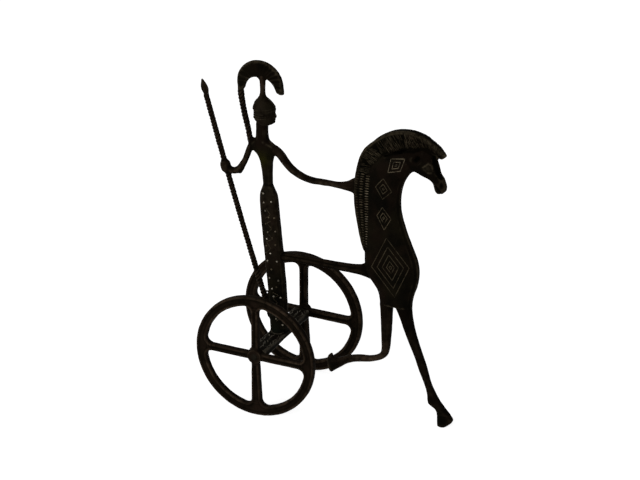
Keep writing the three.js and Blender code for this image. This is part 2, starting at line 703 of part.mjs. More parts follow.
function frontArm() {
  const hand = onTrunk(-20, 109.5);
  const sections = limb(frontShoulder, hand, frontArmRows, { thickness: ARM_THICKNESS });
  sections.forEach((cross, i) => {
    cross.half = Math.min(cross.half, ARM_THICKNESS * (i < 4 ? 0.7 : 0.55));
  });
  return cut(loft(sections, { sides: ROD_SIDES, squareness: 2, steps: 3 }), torso(SEAM), mane(SEAM));
}

// The whole figure

const figurine = new THREE.Group();

function add(name, geometry, material) {
  const mesh = new THREE.Mesh(geometry, material);
  mesh.name = name;
  figurine.add(mesh);
}

add('axle_board', board(), greenBronze());
for (const [name, side] of [['near', -1], ['far', 1]]) {
  const turn = side < 0 ? Math.PI : 0;
  add(`${name}_wheel`, wheel().translate(0, (side * TRACK) / 2, axleHeight), darkBronze());
  add(`${name}_axle_rivet`, rivet().rotateZ(turn).translate(0, 0, axleHeight), greenBronze());
}
add('robe', robe(), rubbedBronze());
add('torso', torso(), rubbedBronze());
add('helmeted_head', helmetedHead(), rubbedBronze());
add('crest_stem', crestStem(), darkBronze());
add('crest_plume', plume(), rubbedBronze());
add('crest_tail', crestTail(), darkBronze());
add('rear_arm', rearArm(), darkBronze());
add('front_arm', frontArm(), darkBronze());
add('spear_shaft', cut(spearShaft(), robe(SEAM)), darkBronze());
add('spear_head', spearHead(), darkBronze());
add('draught_bar', draughtBar(), darkBronze());
add('horse_trunk', trunk(), rubbedBronze());
add('horse_head', cut(horseHead(), trunk(SEAM)), rubbedBronze());
add('horse_mane', cut(mane(), trunk(SEAM), horseHead(SEAM)), rubbedBronze());
add('straight_foreleg', straightForeleg(), darkBronze());
add('folded_foreleg', foldedForeleg(), darkBronze());

// The origin is under the middle of the whole figure, on the surface that it stands on
const extent = new THREE.Box3().setFromObject(figurine);
figurine.position.x = -(extent.min.x + extent.max.x) / 2;
figurine.updateMatrixWorld(true);

export default figurine;
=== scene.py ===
# %% [markdown]
# # Dressing a bronze chariot figurine
# The figurine is a small lost-wax bronze: a standing warrior on a two-wheeled chariot behind a horse that
# is only chest, neck and forelegs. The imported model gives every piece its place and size. This script
# gives each piece the skin of a casting: soft joints, chased ornament, twisted rods and a dark patina.
# Lengths are written in millimetres and turned to metres where Blender needs them.

import math

import bmesh
import bpy
import numpy as np
from mathutils import Matrix, Vector
from mathutils.bvhtree import BVHTree


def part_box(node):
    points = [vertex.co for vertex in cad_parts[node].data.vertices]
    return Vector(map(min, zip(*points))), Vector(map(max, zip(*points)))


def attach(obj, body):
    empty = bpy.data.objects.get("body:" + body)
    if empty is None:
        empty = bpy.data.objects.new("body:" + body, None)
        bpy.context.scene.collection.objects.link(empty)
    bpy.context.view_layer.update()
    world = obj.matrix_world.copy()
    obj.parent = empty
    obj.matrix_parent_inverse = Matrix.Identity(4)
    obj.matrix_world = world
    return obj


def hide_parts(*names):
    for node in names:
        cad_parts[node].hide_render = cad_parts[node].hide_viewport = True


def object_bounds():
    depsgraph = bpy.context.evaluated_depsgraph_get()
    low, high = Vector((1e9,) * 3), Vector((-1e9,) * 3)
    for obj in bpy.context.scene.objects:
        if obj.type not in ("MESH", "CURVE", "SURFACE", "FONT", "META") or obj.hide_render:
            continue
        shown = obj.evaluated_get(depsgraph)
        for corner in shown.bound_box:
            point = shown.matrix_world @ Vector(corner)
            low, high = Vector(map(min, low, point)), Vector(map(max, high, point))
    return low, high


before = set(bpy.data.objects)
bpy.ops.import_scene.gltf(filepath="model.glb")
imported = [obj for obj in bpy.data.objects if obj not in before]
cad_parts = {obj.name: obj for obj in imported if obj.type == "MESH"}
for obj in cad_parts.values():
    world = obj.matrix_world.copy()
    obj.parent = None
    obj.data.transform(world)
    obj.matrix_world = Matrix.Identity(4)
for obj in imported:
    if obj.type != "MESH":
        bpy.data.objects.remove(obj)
cad_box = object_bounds()
MM = 0.001
AXLE_X = (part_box("near_wheel")[0].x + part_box("near_wheel")[1].x) / 2 / MM
AXLE_Z = (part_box("near_wheel")[0].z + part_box("near_wheel")[1].z) / 2 / MM
print("axle at", round(AXLE_X, 2), round(AXLE_Z, 2), "mm; nodes", len(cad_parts))

# %% [markdown]
# ## A wax model of the whole group
# In the foundry the pieces are made in wax, set against each other and their joints are smoothed with a
# warm tool before casting. Boolean unions would leave hard creases there. Instead the copies of the
# solids are fused by voxels, grown by the radius of a fillet, fused again and shrunk back: what is convex
# returns to its place, and what is concave keeps a soft fillet. Where a joint was built up with more wax,
# a short rod of it goes in as well.

# %% A skin of points and faces
BOX_MARGIN = 0.02


class Skin:
    """Points in millimetres and four-sided faces, with the few sums that a chaser's work needs."""

    def __init__(self, points, faces):
        self.points, self.faces = points, faces
        self.ends = np.concatenate([faces.ravel(), np.roll(faces, -1, axis=1).ravel()])
        self.others = np.concatenate([np.roll(faces, -1, axis=1).ravel(), faces.ravel()])
        self.counts = np.bincount(self.ends, minlength=len(points))

    def evened(self, values, rounds):
        """Values at the points, each averaged with its neighbours that many times."""
        for _ in range(rounds):
            columns = np.atleast_2d(values.T)
            sums = [np.bincount(self.ends, column[self.others], len(self.counts)) for column in columns]
            values = (np.array(sums) / self.counts).T.reshape(values.shape)
        return values

    def normals(self):
        """Outward directions at the points."""
        a, b, c, d = (self.points[self.faces[:, i]] for i in range(4))
        facing = np.cross(c - a, d - b)
        sums = np.zeros_like(self.points)
        for i in range(4):
            for axis in range(3):
                sums[:, axis] += np.bincount(self.faces[:, i], facing[:, axis], len(sums))
        return sums / np.maximum(np.linalg.norm(sums, axis=1, keepdims=True), 1e-12)

    def raised(self, heights):
        """The same skin with its points moved outwards by the heights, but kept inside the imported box."""
        low, high = (np.array(corner) / MM for corner in cad_box)
        points = self.points + self.normals() * heights[:, None]
        return Skin(np.clip(points, low + BOX_MARGIN, high - BOX_MARGIN), self.faces)


# %% A closed rod along a path
def rod(path, radii, sides=6):
    """Points and faces of a closed rod along a path, with a radius at each of its points."""
    path = [Vector(p) for p in path]
    points, faces = [], []
    for i, centre in enumerate(path):
        ahead = (path[min(i + 1, len(path) - 1)] - path[max(i - 1, 0)]).normalized()
        across = ahead.cross(Vector((0, 1, 0) if abs(ahead.y) < 0.8 else (1, 0, 0))).normalized()
        over = across.cross(ahead)
        for k in range(sides):
            angle = 2 * math.pi * k / sides
            points.append(centre + (across * math.cos(angle) + over * math.sin(angle)) * radii[i])
    for i in range(len(path) - 1):
        for k in range(sides):
            a, b = i * sides + k, i * sides + (k + 1) % sides
            faces.append((a, b, b + sides, a + sides))
    last = (len(path) - 1) * sides
    faces += [tuple(reversed(range(sides))), tuple(range(last, last + sides))]
    return [tuple(p) for p in points], faces


# %% Fuse copies of the solids
def fused(name, nodes, voxel, fillet=0.0, rounds=3, fillers=()):
    """One skin over copies of the CAD nodes and over filler rods, with fillets where they meet."""
    together = bmesh.new()
    for node in nodes:
        together.from_mesh(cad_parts[node].data)
    bmesh.ops.remove_doubles(together, verts=together.verts, dist=1e-6)
    for points, faces in fillers:
        corners = [together.verts.new(Vector(point) * MM) for point in points]
        for face in faces:
            together.faces.new([corners[i] for i in face])
    mesh = bpy.data.meshes.new(name)
    together.to_mesh(mesh)
    together.free()
    blank = bpy.data.objects.new(name, mesh)
    bpy.context.scene.collection.objects.link(blank)
    steps = [("REMESH", None), ("SMOOTH", rounds)]
    if fillet:
        steps = [("REMESH", None), ("DISPLACE", fillet), ("REMESH", None), ("DISPLACE", -fillet)] + steps
    for kind, amount in steps:
        modifier = blank.modifiers.new(kind.lower(), kind)
        if kind == "REMESH":
            modifier.mode, modifier.voxel_size = "VOXEL", voxel * MM
        elif kind == "DISPLACE":
            modifier.strength, modifier.mid_level = amount * MM, 0
        else:
            modifier.factor, modifier.iterations = 0.5, amount
    evaluated = blank.evaluated_get(bpy.context.evaluated_depsgraph_get())
    result = bpy.data.meshes.new_from_object(evaluated)
    points = np.empty(len(result.vertices) * 3)
    result.vertices.foreach_get("co", points)
    faces = np.empty(len(result.loops), int)
    result.loops.foreach_get("vertex_index", faces)
    bpy.data.objects.remove(blank)
    skin = Skin(points.reshape(-1, 3) / MM, faces.reshape(-1, 4))
    print(name, "skin:", len(skin.points), "points")
    return skin


CAST_TOGETHER = [
    "axle_board", "robe", "torso", "rear_arm", "front_arm", "helmeted_head", "crest_stem", "crest_plume",
    "crest_tail", "spear_shaft", "spear_head", "draught_bar", "horse_trunk", "horse_head", "horse_mane",
    "straight_foreleg", "folded_foreleg"]
VOXEL = 0.55
stem_low, stem_high = (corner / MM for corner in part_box("crest_stem"))
stem_x = (stem_low.x + stem_high.x) / 2
WEBS = {
    "front shoulder": ([(-61.2, 0, 251.2), (-54.6, 0, 246.3), (-47.4, 0, 242.4)], [2.4, 2.7, 2.5]),
    "under the crest": (
        [(stem_x - 1, 0, stem_high.z - 5), (stem_x - 2.8, 0, stem_high.z - 2),
         (stem_x - 6, 0, stem_high.z + 1.5)],
        [1.5, 1.9, 1.9]),
    "rear elbow": ([(-95, 0, 214.7), (-87, 0, 214.6), (-84.6, 0, 219.5)], [1.8, 1.5, 1.7]),
    "tip of the crest": ([(-45.3, 0, 304), (-45.0, 0, 299.0)], [2.2, 2.2]),
    "tail of the crest": (
        [(-86.6, 0, 301), (-86.3, 0, 293.5), (-84.6, 0, 282.6), (-82, 0, 270.5), (-79.6, 0, 260)],
        [2.0, 2.3, 2.3, 2.3, 1.9]),
    "hand, upper edge": (
        [(16, 0, 223.4), (21, 0, 225.2), (26.5, 0, 229), (30, 0, 231)], [1.4, 1.6, 1.6, 1.6]),
    "hand, lower edge": (
        [(16, 0, 221), (21, 0, 219.8), (27, 0, 217.8), (30, 0, 217)], [1.4, 1.6, 1.6, 1.6]),
    "bar at the horse": ([(34, 0, 144.8), (39.6, 0, 147.6), (40.6, 0, 152)], [1.4, 2.0, 1.4]),
    "lower lip": ([(109.6, 0, 234.2), (112.6, 0, 234.4), (115.2, 0, 236.4)], [1.2, 1.9, 1.4]),
    "front edge of the robe": ([(-42.0, 0, 74), (-42.1, 0, 90)], [2.3, 2.3]),
    "heel of the folded leg": ([(3.7, -3.4, 47.8), (3.7, 3.4, 47.8)], [1.2, 1.2])}
stem_foot = rod(
    [(stem_x, 0, stem_low.z - 1), (stem_x, 0, stem_low.z + 1.5), (stem_x, 0, stem_low.z + 5)],
    [4.0, 3.0, 2.3], sides=16)
webs = [rod(path, radii, sides=12) for path, radii in WEBS.values()] + [stem_foot]
group = fused("wax_group", CAST_TOGETHER, VOXEL, fillet=1.8, fillers=webs)

# %% [markdown]
# ## Which piece each point belongs to
# The group is one skin now, but the figurine stays an assembly. Every point is told which solid it lies
# nearest to, and the skin is parted again along those lines later, after the ornament is on.

# %% Sort the points by the nearest solid
def distances(skin, node, reach=3.0):
    """How far each point of the skin is from a CAD node, or a large number beyond the reach of its box."""
    low, high = (np.array(corner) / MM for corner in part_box(node))
    near = np.all((skin.points > low - reach) & (skin.points < high + reach), axis=1)
    solid = bmesh.new()
    solid.from_mesh(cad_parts[node].data)
    tree = BVHTree.FromBMesh(solid)
    solid.free()
    far = np.full(len(skin.points), 99.0)
    far[near] = [tree.find_nearest(Vector(p))[3] / MM for p in skin.points[near] * MM]
    return far


def owners(skin, nodes):
    """The nearest node of each point, and of each face, of a fused skin."""
    gaps = np.array([skin.evened(distances(skin, node), 2) for node in nodes])
    face_gaps = gaps[:, skin.faces].sum(axis=2)
    return np.array(nodes)[gaps.argmin(axis=0)], np.array(nodes)[face_gaps.argmin(axis=0)]


owner, face_owner = owners(group, CAST_TOGETHER)
for node in CAST_TOGETHER:
    print(f"{node:18} {np.count_nonzero(owner == node):6} points")

# %% [markdown]
# ## Chasing tools
# Ornament is drawn on a flat sheet, in millimetres from the spot under the axle, as it is seen from the
# side, a little in front and a little above. A tool then carries each drawn point along that line of
# sight until it meets the bronze, on the near flank or, mirrored, on the far one. Raised lines are thin
# rods sunk to about half their depth, which stay crisp where the even skin would need far more faces.

# %% Carry drawn points onto the bronze
SEEN_ALONG = (-0.478, -0.532)
SHIFT_X, SHIFT_Z = 0.3, 0.5
START_DEPTH = 40.0
THINNEST = 0.4


def tree_of(skin, chosen=slice(None)):
    """A search tree over a skin, or over the chosen faces of it."""
    return BVHTree.FromPolygons([tuple(p) for p in skin.points], skin.faces[chosen].tolist())


def on_side(tree, x, z, side=-1):
    """Where a drawn point meets the skin on the near (-1) or far (1) side, and the way outwards."""
    start = Vector((
        x + AXLE_X - SHIFT_X - SEEN_ALONG[0] * START_DEPTH, side * START_DEPTH,
        z + SHIFT_Z - SEEN_ALONG[1] * START_DEPTH))
    place, normal, _, _ = tree.ray_cast(start, Vector((SEEN_ALONG[0], -side, SEEN_ALONG[1])).normalized())
    return (None, None) if place is None or abs(place.y) < THINNEST else (place, normal)


def raised_line(tree, drawn, radius, side, sink=0.35, step=1.2):
    """A thin rod along drawn corners, laid on the skin, or None where it would leave it."""
    spots = []
    for (x0, z0), (x1, z1) in zip(drawn, drawn[1:]):
        count = max(1, round(math.hypot(x1 - x0, z1 - z0) / step))
        spots += [(x0 + (x1 - x0) * i / count, z0 + (z1 - z0) * i / count) for i in range(count)]
    spots.append(drawn[-1])
    found = [on_side(tree, x, z, side) for x, z in spots]
    if any(place is None for place, _ in found) or len(found) < 2:
        return None
    path = [place - normal * radius * sink for place, normal in found]
    radii = [radius * (0.45 if i in (0, len(path) - 1) else 1) for i in range(len(path))]
    return rod(path, radii)


def stud(tree, x, z, radius, side):
    """A small domed stud set on the skin."""
    place, normal = on_side(tree, x, z, side)
    if place is None:
        return None
    profile = [(-0.5, 1.0), (0.1, 1.0), (0.5, 0.8), (0.75, 0.45), (0.82, 0.1)]
    path = [place + normal * radius * up for up, _ in profile]
    return rod(path, [radius * wide for _, wide in profile], sides=10)


skin_tree = tree_of(group)
print("the flank is", round(-on_side(skin_tree, 110, 200)[0].y, 2), "mm from the middle plane")

# %% [markdown]
# ## Shaping by small hills and hollows
# A caster's tools leave rounded marks. Each one is a smooth hill or hollow with a height in millimetres
# at every point, and a piece's relief is the sum of its marks. A few slow waves stand for the unevenness
# of hand-worked wax.

# %% Marks of the tools
def mound(*shares):
    """A round mark of height 1, from offsets divided by its half widths."""
    return np.exp(-sum(share ** 2 for share in shares))


def step_up(values, start, end):
    """From 0 at start to 1 at end, smoothly."""
    t = np.clip((values - start) / (end - start), 0, 1)
    return t * t * (3 - 2 * t)


def line_distance(x, z, corners):
    """How far points of a drawing are from a line through its corners."""
    nearest = np.full(len(x), 99.0)
    for (x0, z0), (x1, z1) in zip(corners, corners[1:]):
        along = ((x - x0) * (x1 - x0) + (z - z0) * (z1 - z0)) / ((x1 - x0) ** 2 + (z1 - z0) ** 2)
        along = np.clip(along, 0, 1)
        nearest = np.minimum(nearest, np.hypot(x - x0 - along * (x1 - x0), z - z0 - along * (z1 - z0)))
    return nearest


def uneven(points, length, seed):
    """A slow random waviness of about that wave length, between about -1 and 1."""
    dice = np.random.default_rng(seed)
    total = np.zeros(len(points))
    for _ in range(14):
        way = dice.normal(size=3)
        way *= 2 * math.pi / length / np.linalg.norm(way) * dice.uniform(0.7, 1.4)
        total += np.cos(points @ way + dice.uniform(0, 2 * math.pi))
    return total / 5


def drawing_of(points):
    """The drawn place of points of the bronze, by the same line of sight as on_side."""
    depth = np.abs(points[:, 1])
    x = points[:, 0] - AXLE_X + SHIFT_X + SEEN_ALONG[0] * depth
    return x, points[:, 2] - SHIFT_Z + SEEN_ALONG[1] * depth


# %% [markdown]
# ## Twisted rods
# The spear and the crest's tail are square wires twisted tight. In the skin they are round rods, and the
# four corners of the wire are raised on them as ridges that climb round the rod's middle line.

# %% Middle lines and twist
def middle_line(node, spacing=0.7):
    """Middle of a leaning rod in the figure's middle plane, from its foot to its top."""
    low, high = (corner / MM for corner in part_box(node))
    solid = bmesh.new()
    solid.from_mesh(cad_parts[node].data)
    tree = BVHTree.FromBMesh(solid)
    solid.free()
    line = []
    for z in np.arange(low.z + 0.6, high.z - 0.4, spacing):
        ends = [tree.ray_cast(Vector((x, 0.01, z)) * MM, Vector((way, 0, 0)))[0]
                for x, way in ((low.x - 5, 1), (high.x + 5, -1))]
        if all(ends):
            line.append(((ends[0].x + ends[1].x) / 2 / MM, z))
    line = np.array(line)
    for _ in range(30):
        line[1:-1, 0] = (line[:-2, 0] + line[1:-1, 0] * 2 + line[2:, 0]) / 4
    return line


def twist(points, node, pitch, corners=4):
    """A wave from -1 between the corners of a twisted wire to 1 on them, fading towards its ends."""
    line = middle_line(node)
    middle = np.interp(points[:, 2], line[:, 1], line[:, 0])
    slope = (line[-1, 0] - line[0, 0]) / (line[-1, 1] - line[0, 1])
    stretch = math.hypot(1, slope)
    angle = np.arctan2(points[:, 1], (points[:, 0] - middle) / stretch)
    wave = np.cos(corners * (angle - 2 * math.pi * points[:, 2] * stretch / pitch))
    low, high = line[0, 1], line[-1, 1]
    return wave * step_up(points[:, 2], low + 1, low + 5) * step_up(-points[:, 2], -high + 1, -high + 5)


# %% [markdown]
# ## Relief of the cast pieces
# The arms are flat bars with a ridge along the middle, and the draught bar has two long flutes. The
# crescent of the crest is cut with rays, the mane stands clear of the neck over an undercut whose shadow
# is also painted in later, and the horse's head has an eye pit, a cheekbone, a hollow before it, a
# nostril and a mouth. A hoof is marked off by a raised coronet.

# %% Heights piece by piece
MANE_EDGE = [
    (88, 165), (89, 195), (89, 215), (90, 230), (91, 240), (92, 245), (95, 248), (100, 254), (103, 258),
    (106, 260), (110, 261.5), (115, 263.5), (120, 266.5), (125, 268.5), (130, 269), (135, 270), (140, 272.5),
    (147, 273), (153, 269.5), (160, 267)]
PLUME_CENTRE = (-19.1, 306.0)
SHOULDER_RIDGE = [(-16, 247.5), (-9, 245), (-2, 241.5), (6, 236)]


def roof(facing):
    """A ridge along the middle of a flat limb, falling evenly to its edges."""
    return np.clip(1 - np.sqrt(np.clip(1 - facing[:, 1] ** 2, 0, 1)) / 0.85, 0, 1)


def front_limb(x, z, facing):
    return 0.75 * roof(facing) * step_up(x, -4, 5)


def rear_limb(x, z, facing):
    return 0.7 * roof(facing) * step_up(-x, 26, 31)


def shoulders(x, z, facing):
    return 0.45 * mound(line_distance(x, z, SHOULDER_RIDGE) / 1.5) * np.abs(facing[:, 1])


def fluted_bar(x, z, facing):
    return -0.4 * mound((np.abs(facing[:, 2]) - 0.5) / 0.2)


def plume_streaks(x, z):
    """Streaks between -1 and 1 that run out from the crest's centre, uneven, and fade over its middle."""
    dx, dz = x - PLUME_CENTRE[0], z - PLUME_CENTRE[1]
    angle = np.degrees(np.arctan2(dz, dx)) % 360
    dice = np.random.default_rng(21)
    wave = np.interp(angle, np.arange(0, 361, 4.0), dice.uniform(-1, 1, 91))
    return wave * (0.25 + 0.75 * step_up(np.abs(dx), 5, 14)) * step_up(np.hypot(dx, dz), 6, 12)


def rayed_plume(x, z, facing):
    out = np.hypot(x - PLUME_CENTRE[0], z - PLUME_CENTRE[1])
    flat = step_up(np.abs(facing[:, 1]), 0.6, 0.9)
    return flat * (0.3 * plume_streaks(x, z) + 0.15 * mound((out - 21.3) / 0.8))


def undercut(x, z):
    line = [(105, 257.3), (112, 260.3), (118, 263.3), (125, 265.8), (132, 266.6), (138, 269.5)]
    return mound(line_distance(x, z - 0.4, line) / (0.7 + 1.4 * step_up(x, 104, 116)))


def face_hollows(x, z):
    """Eye pit, the hollow before the cheek, the nostril and the mouth, all from 0 to 1."""
    front = line_distance(x, z, [(153.2, 266), (154.4, 259), (156.8, 253), (159.8, 247.5)])
    front_width = 1.3 + 1.5 * step_up(-z, -264, -257) * step_up(z, 247, 253)
    mouth = line_distance(x, z, [(159.5, 233), (157, 235.3), (155, 238)])
    eye = line_distance(x, z, [(134.6, 258.6), (137, 261.6)])
    return np.max([
        np.clip(1.6 * mound(eye / 2.2), 0, 1.15), mound(front / front_width), 0.9 * mound(mouth / 0.7),
        0.8 * mound((x - 160.5) / 1.3, (z - 239.5) / 2.2), 0.3 * mound((x - 144) / 5, (z - 263) / 3)], axis=0)


def cheek_ridge(x, z):
    upper = [(142.4, 254.1), (147.6, 258.8), (151, 257), (152, 252.8)]
    lower = [(143.5, 252), (147.3, 249.9), (151, 250.5)]
    ridges = [mound(line_distance(x, z, line) / 0.8) for line in (upper, lower)]
    return np.max(ridges + [0.4 * mound((x - 146) / 4, (z - 254) / 3)], axis=0)


def bridge(x, z):
    return mound(line_distance(x, z, [(155.8, 266), (158.7, 258.2), (161.4, 251.5), (164.2, 245.8)]) / 0.8)


def horse(x, z, facing):
    below_mane = line_distance(x, z, [(108, 255), (118, 260), (128, 263), (138, 265)])
    return (0.4 * cheek_ridge(x, z) + 0.4 * bridge(x, z) - 1.5 * face_hollows(x, z) - undercut(x, z)
            - 0.7 * mound(below_mane / 2.2))


def hoofed_leg(x, z, facing):
    return 0.12 * mound((z - 10.5) / 0.8) - 0.12 * mound((z - 8.8) / 0.6)


RELIEFS = {
    "rear_arm": rear_limb, "front_arm": front_limb, "torso": shoulders, "draught_bar": fluted_bar,
    "crest_plume": rayed_plume, "horse_trunk": horse, "horse_mane": horse, "horse_head": horse,
    "straight_foreleg": hoofed_leg}
TIP_SHIFT, BLADE_LEAN = 0.6, 0.298
TWIST_HEIGHT, GROUP_GROWTH, PAST_CAD = 0.25, 0.27, 0.05
group.points[:, 0] += TIP_SHIFT * group.evened((owner == "spear_head").astype(float), 8)
heights = 0.07 * uneven(group.points, 9, 1) + 0.1 * uneven(group.points, 24, 2)
drawn_x, drawn_z = drawing_of(group.points)
outward = group.normals()
for node, relief in RELIEFS.items():
    mine = owner == node
    heights[mine] += relief(drawn_x[mine], drawn_z[mine], outward[mine])
twists = np.zeros(len(group.points))
for node, pitch in (("spear_shaft", 12.5), ("crest_tail", 13.5)):
    mine = owner == node
    twists[mine] = twist(group.points[mine], node, pitch)
blade = owner == "spear_head"
blade_x, blade_z = np.array(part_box("spear_head")).mean(axis=0)[[0, 2]] / MM
blade_dx, blade_dz = group.points[:, 0] - blade_x, group.points[:, 2] - blade_z
off_midrib = blade_dx * math.cos(BLADE_LEAN) + blade_dz * math.sin(BLADE_LEAN)
heights[blade] += 0.35 * (mound(off_midrib / 0.8) * np.abs(outward[:, 1]))[blade]
group = group.raised(group.evened(heights, 1) + TWIST_HEIGHT * twists + GROUP_GROWTH)
board = owner == "axle_board"
board_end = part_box("axle_board")[1].y / MM + PAST_CAD
group.points[board, 1] = np.clip(group.points[board, 1], -board_end, board_end)
skin_tree = tree_of(group)
print("relief from", round(heights.min(), 2), "to", round(heights.max(), 2), "mm")

# %% [markdown]
# ## Lozenges, mane and studs
# Four sets of nested lozenges run down the horse's neck and chest. The mane is laid in short strokes:
# three upright columns on the neck, then longer locks that fan out over the arch. The robe is sown with
# small studs and fine zigzag lines. All of it is raised work, drawn once and carried to both sides. It
# could be a bump in the finish, but real relief also shows at the edges and stays in the mesh.

# %% Lozenges on the neck and chest
def lozenge(corners, shares):
    """Nested closed outlines, each drawn in towards the middle by its share."""
    middle = [sum(c[i] for c in corners) / 4 for i in (0, 1)]
    for keep in shares:
        drawn = [(middle[0] + (x - middle[0]) * keep, middle[1] + (z - middle[1]) * keep) for x, z in corners]
        yield drawn + drawn[:1]


LOZENGES = [
    ([(111, 256.3), (124.6, 258.8), (120.2, 246), (108, 242.3)], (1, 0.5, 0.12), 1.25),
    ([(103.5, 235.5), (96, 226), (103, 215), (112, 224)], (1, 0.48, 0.12), 0.8),
    ([(103, 207), (97.5, 198), (104.8, 185), (111.5, 197)], (1, 0.5, 0.14), 1.0),
    ([(107, 177.5), (92.5, 146), (115.5, 120), (129.8, 152)], (1, 0.7, 0.43, 0.21, 0.07), 0.75)]
lozenge_lines = [
    (raised_line(skin_tree, outline, 0.42, side), rub_and_highlight)
    for side in (-1, 1) for corners, shares, rub_and_highlight in LOZENGES for outline in lozenge(corners, shares)]
print("lozenge lines:", len([line for line, _ in lozenge_lines if line]), "of", len(lozenge_lines))


# %% Strokes of the mane
def along_edge(corners, spacing):
    """Evenly spaced places on a drawn line, each with its direction turned a quarter to the left."""
    left_over = 0.0
    for (x0, z0), (x1, z1) in zip(corners, corners[1:]):
        length = math.hypot(x1 - x0, z1 - z0)
        at = left_over
        while at < length:
            yield (x0 + (x1 - x0) * at / length, z0 + (z1 - z0) * at / length,
                   -(z1 - z0) / length, (x1 - x0) / length)
            at += spacing
        left_over = at - length


mane_tree = tree_of(group, np.isin(face_owner, ["horse_mane", "horse_trunk", "horse_head"]))
STROKE_SPACING, LONGEST_REACH, SHORTEST_REACH = 1.25, 26, 3.5


def mane_reach(x, z, out_x, out_z, side):
    """How far the bronze goes on along a line drawn outwards from the inner edge of the mane."""
    reach = 0.0
    while reach < LONGEST_REACH:
        if on_side(mane_tree, x + out_x * reach, z + out_z * reach, side)[0] is None:
            break
        reach += 0.5
    return reach


def mane_locks(side):
    dice = np.random.default_rng(7)
    for x, z, out_x, out_z in along_edge(MANE_EDGE, STROKE_SPACING):
        reach = mane_reach(x, z, out_x, out_z, side)
        arch = step_up(z, 232, 242)
        if reach < SHORTEST_REACH or (arch < 0.5 and round(z / STROKE_SPACING) % 2):
            continue
        middle, top = dice.uniform(0.3, 0.5), dice.uniform(0.72, 0.84)
        fan = [(dice.uniform(0.02, 0.1), middle), (middle + dice.uniform(-0.08, 0.04), top)]
        for k, (start, end) in enumerate(fan if arch > 0.5 else [(0.0, 0.26), (0.36, 0.62), (0.7, 0.92)]):
            slide = dice.uniform(-0.2, 0.2) + 0.6 * (k % 2)
            lean = dice.uniform(-2.4, -0.2) * arch - 0.3
            ends = [(x + out_x * reach * share + out_z * (slide + lean * late),
                     z + out_z * reach * share - out_x * (slide + lean * late))
                    for late, share in ((0, start), (1, end))]
            radius = dice.uniform(0.32, 0.46) if arch > 0.5 else 0.66 - 0.1 * k
            shine = dice.uniform(0.1, 0.65) if arch > 0.5 else dice.uniform(0.9, 1.35) - 0.3 * k
            shine *= 1 - 0.5 * step_up(x, 128, 150)
            yield raised_line(mane_tree, ends, radius, side, sink=0.25), shine


mane_lines = [(line, shine) for side in (-1, 1) for line, shine in mane_locks(side) if line]
print("mane strokes:", len(mane_lines))

# %% Studs and lines of the robe
STUDS = [
    (-16, 197), (-8, 190), (-14, 180), (-5, 174.5), (-13.5, 167), (-4, 161), (-11.5, 159), (-7, 154),
    (-4, 147.5), (-9, 138), (-2.5, 131), (-8, 122), (-1, 112), (-7.5, 102.5), (-6, 95), (1, 95), (-3, 77),
    (-3.5, 72.5), (3, 67.5), (-13, 145), (-15.5, 188), (-10.5, 174), (-12, 130), (-3, 105), (-10, 113),
    (-5, 86), (1.5, 85), (-12.5, 152)]
STUD_RADIUS, ZIGZAG_RADIUS = 0.95, 0.23
studs = [stud(skin_tree, x, z, STUD_RADIUS, side) for side in (-1, 1) for x, z in STUDS]
ZIGZAGS = [
    [(-14, 137), (-8.5, 143), (-13, 149), (-6.5, 153), (-12, 158), (-7.5, 163), (-12.5, 168), (-8, 171)],
    [(-7, 86), (-2, 89), (-6.5, 93), (-1, 97), (-7.5, 99)], [(-4, 70), (0, 73), (-3.5, 77), (1, 80)],
    [(-14.5, 172), (-9, 177), (-14.5, 184)]]
zigzags = [
    raised_line(skin_tree, drawn, ZIGZAG_RADIUS, side, sink=0.2) for side in (-1, 1) for drawn in ZIGZAGS]
print("studs and zigzags on the robe:", len([work for work in studs + zigzags if work]))

# %% [markdown]
# ## Hatching on the board
# The top of the board is hatched with long, slightly slanting strokes, and a lip of braze runs round the
# foot of the robe. Both are laid on from above, by the same kind of tool that works the flanks.

# %% Strokes on the board
def on_top(tree, x, y):
    place, normal, _, _ = tree.ray_cast(Vector((x, y, 75)), Vector((0, 0, -1)))
    return place, normal


def laid_from_above(drawn, radius, low=56):
    """A rod with thin ends along places on the board, or None where it would leave the top."""
    ends = [on_top(skin_tree, x, y) for x, y in drawn]
    if any(place is None or place.z < low for place, _ in ends):
        return None
    last = len(ends) - 1
    return rod([place - normal * radius * 0.3 for place, normal in ends],
               [radius * (0.5 if i in (0, last) else 1) for i in range(last + 1)])


def board_hatching():
    dice = np.random.default_rng(11)
    for y in np.arange(-42, 42, 3.2):
        for k in range(3):
            x = AXLE_X - 5.4 + 5.2 * k + dice.uniform(-0.9, 0.9)
            slant, half = dice.uniform(-1.6, 1.6), dice.uniform(1.4, 3.4)
            if abs(y) > 10:
                drawn = [(x + slant * share, y + half * share) for share in (-1, -0.5, 0, 0.5, 1)]
                yield laid_from_above(drawn, dice.uniform(0.3, 0.5))


def braze_lip(side):
    """The lip of braze round one side of the robe's foot."""
    angles = np.radians(np.arange(20, 161, 10))
    drawn = [(AXLE_X - 0.5 + 6.6 * math.cos(a), side * (2 + 6.5 * math.sin(a))) for a in angles]
    return laid_from_above(drawn, 1.0)


hatching = [line for line in board_hatching() if line]
lips = [braze_lip(-1), braze_lip(1)]
print("strokes on the board:", len(hatching), "and lips:", len([lip for lip in lips if lip]))

# %% [markdown]
# ## Head
# The head is small and finely made, so it gets a finer skin of its own, fused with the neck and the
# crest's post so that it grows out of them. It wears a close helmet with a raised brow band, a ridge over
# the top, cheek guards and three lines at the nape. The face is a calm, plain one on the proportions that
# drawing books teach: eyes half-way up the head, nose and mouth spaced below them.

# %% Helmet and face
HEAD_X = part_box("helmeted_head")[0].x / MM + 10.8
HEAD_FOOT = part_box("helmeted_head")[0].z / MM
HEAD_GROWTH = 0.18


